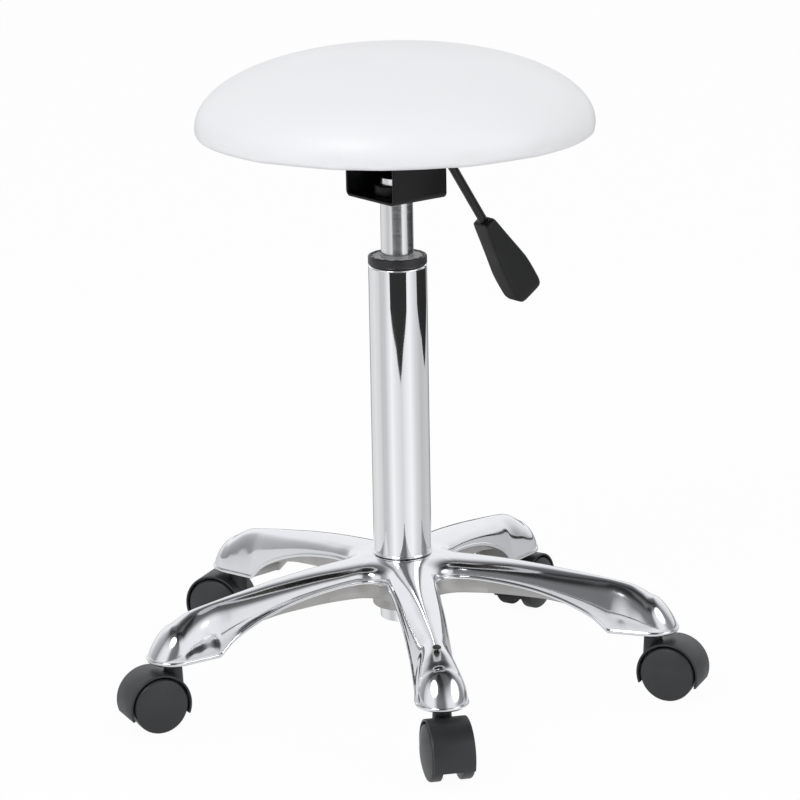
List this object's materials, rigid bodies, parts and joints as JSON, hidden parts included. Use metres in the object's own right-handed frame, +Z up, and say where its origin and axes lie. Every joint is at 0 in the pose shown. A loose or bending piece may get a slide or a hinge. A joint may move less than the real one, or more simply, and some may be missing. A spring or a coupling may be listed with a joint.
{
  "type": "dentist stool",
  "caption": "Swivelling, height-adjustable stool with a domed round seat, a gas-lift column and a cast star base on twin-wheel casters.",
  "frame": {"origin": "on the floor, under the centre of the box around the stool; the column axis stands 19.02 mm towards +Y from it", "axes": "+Z up along the column; -Y along the arm that carries the plug; +X to the right of that arm"},
  "size_m": [0.5116, 0.4875, 0.5617],
  "materials": {
    "polished_aluminium": "polished casting, dull cast web walls beneath",
    "chrome": "mirror chrome plate",
    "satin_chrome": "fine ground, satin chrome",
    "steel": "zinc-bright steel",
    "black_plastic": "moulded, semi-matt",
    "caster_black": "moulded nylon, fine grain",
    "wheel_black": "moulded nylon, fine grain",
    "lever_grip": "moulded, fine spark-eroded grain",
    "grey_plastic": "moulded acetal, light grey",
    "black_paint": "satin black powder coat",
    "gloss_black": "gloss black paint",
    "rubber": "matt",
    "plywood": "raw plywood",
    "foam": "open-cell foam",
    "white_vinyl": "smooth white vinyl, low sheen"
  },
  "bodies": {
    "base": {"base_star": "polished_aluminium", "arm_plug": "black_plastic", "column_tube": "chrome", "guide_bushing": "grey_plastic", "collar_ring": "black_plastic", "thrust_bearing": "steel", "grip_sleeve_1": "black_plastic", "grip_sleeve_2": "black_plastic", "grip_sleeve_3": "black_plastic", "grip_sleeve_4": "black_plastic", "grip_sleeve_5": "black_plastic"},
    "spindle": {"bearing_washer": "steel", "rubber_bumper": "rubber", "piston_rod": "steel", "piston": "steel", "retaining_clip": "steel"},
    "seat": {"gas_cylinder": "satin_chrome", "taper_socket": "black_paint", "seat_channel": "black_paint", "top_plate": "black_paint", "seat_bolt_1": "steel", "seat_bolt_2": "steel", "seat_bolt_3": "steel", "seat_bolt_4": "steel", "seat_board": "plywood", "seat_foam": "foam", "seat_cover": "white_vinyl"},
    "valve": {"valve_pin": "grey_plastic"},
    "lever": {"lever_rod": "gloss_black", "lever_paddle": "lever_grip"},
    "caster_1": {"caster_stem_1": "steel", "caster_housing_1": "caster_black", "caster_axle_1": "steel"},
    "left_wheel_1": {"wheel_left_1": "wheel_black"},
    "right_wheel_1": {"wheel_right_1": "wheel_black"},
    "caster_2": {"caster_stem_2": "steel", "caster_housing_2": "caster_black", "caster_axle_2": "steel"},
    "left_wheel_2": {"wheel_left_2": "wheel_black"},
    "right_wheel_2": {"wheel_right_2": "wheel_black"},
    "caster_3": {"caster_stem_3": "steel", "caster_housing_3": "caster_black", "caster_axle_3": "steel"},
    "left_wheel_3": {"wheel_left_3": "wheel_black"},
    "right_wheel_3": {"wheel_right_3": "wheel_black"},
    "caster_4": {"caster_stem_4": "steel", "caster_housing_4": "caster_black", "caster_axle_4": "steel"},
    "left_wheel_4": {"wheel_left_4": "wheel_black"},
    "right_wheel_4": {"wheel_right_4": "wheel_black"},
    "caster_5": {"caster_stem_5": "steel", "caster_housing_5": "caster_black", "caster_axle_5": "steel"},
    "left_wheel_5": {"wheel_left_5": "wheel_black"},
    "right_wheel_5": {"wheel_right_5": "wheel_black"}
  },
  "joints": [
    {"name": "column_swivel", "type": "hinge", "parent": "base", "child": "spindle", "pos_m": [0, 0.01902, 0.1], "axis": [0, 0, 1], "continuous": true},
    {"name": "seat_lift", "type": "slide", "parent": "spindle", "child": "seat", "axis": [0, 0, 1], "range_m": [0, 0.19]},
    {"name": "lever_pull", "type": "hinge", "parent": "seat", "child": "lever", "pos_m": [0.02356, 0.0327, 0.462], "axis": [0.5023, -0.8647, 0], "range_deg": [0, 6], "stiffness_Nm_per_rad": 1, "springref_deg": -5.73},
    {"name": "valve_slide", "type": "slide", "parent": "seat", "child": "valve", "axis": [0, 0, -1], "range_m": [0, 0.003]},
    {"name": "caster_swivel_1", "type": "hinge", "parent": "base", "child": "caster_1", "pos_m": [0, -0.19898, 0.058], "axis": [0, 0, 1], "continuous": true},
    {"name": "left_wheel_spin_1", "type": "hinge", "parent": "caster_1", "child": "left_wheel_1", "pos_m": [0.00146, -0.21692, 0.0237], "axis": [0.9967, 0.0811, 0], "continuous": true},
    {"name": "right_wheel_spin_1", "type": "hinge", "parent": "caster_1", "child": "right_wheel_1", "pos_m": [0.00146, -0.21692, 0.0237], "axis": [0.9967, 0.0811, 0], "continuous": true},
    {"name": "caster_swivel_2", "type": "hinge", "parent": "base", "child": "caster_2", "pos_m": [0.20733, -0.04835, 0.058], "axis": [0, 0, 1], "continuous": true},
    {"name": "left_wheel_spin_2", "type": "hinge", "parent": "caster_2", "child": "left_wheel_2", "pos_m": [0.22286, -0.05744, 0.0237], "axis": [0.5053, 0.863, 0], "continuous": true},
    {"name": "right_wheel_spin_2", "type": "hinge", "parent": "caster_2", "child": "right_wheel_2", "pos_m": [0.22286, -0.05744, 0.0237], "axis": [0.5053, 0.863, 0], "continuous": true},
    {"name": "caster_swivel_3", "type": "hinge", "parent": "base", "child": "caster_3", "pos_m": [0.12814, 0.19538, 0.058], "axis": [0, 0, 1], "continuous": true},
    {"name": "left_wheel_spin_3", "type": "hinge", "parent": "caster_3", "child": "left_wheel_3", "pos_m": [0.13967, 0.2092, 0.0237], "axis": [-0.7677, 0.6408, 0], "continuous": true},
    {"name": "right_wheel_spin_3", "type": "hinge", "parent": "caster_3", "child": "right_wheel_3", "pos_m": [0.13967, 0.2092, 0.0237], "axis": [-0.7677, 0.6408, 0], "continuous": true},
    {"name": "caster_swivel_4", "type": "hinge", "parent": "base", "child": "caster_4", "pos_m": [-0.12814, 0.19538, 0.058], "axis": [0, 0, 1], "continuous": true},
    {"name": "left_wheel_spin_4", "type": "hinge", "parent": "caster_4", "child": "left_wheel_4", "pos_m": [-0.14359, 0.20461, 0.0237], "axis": [-0.5128, -0.8585, 0], "continuous": true},
    {"name": "right_wheel_spin_4", "type": "hinge", "parent": "caster_4", "child": "right_wheel_4", "pos_m": [-0.14359, 0.20461, 0.0237], "axis": [-0.5128, -0.8585, 0], "continuous": true},
    {"name": "caster_swivel_5", "type": "hinge", "parent": "base", "child": "caster_5", "pos_m": [-0.20733, -0.04835, 0.058], "axis": [0, 0, 1], "continuous": true},
    {"name": "left_wheel_spin_5", "type": "hinge", "parent": "caster_5", "child": "left_wheel_5", "pos_m": [-0.22451, -0.05372, 0.0237], "axis": [0.2982, -0.9545, 0], "continuous": true},
    {"name": "right_wheel_spin_5", "type": "hinge", "parent": "caster_5", "child": "right_wheel_5", "pos_m": [-0.22451, -0.05372, 0.0237], "axis": [0.2982, -0.9545, 0], "continuous": true}
  ],
  "couplings": [
    {"joint": "valve_slide", "follows": "lever_pull", "m_per_rad": 0.02725}
  ]
}
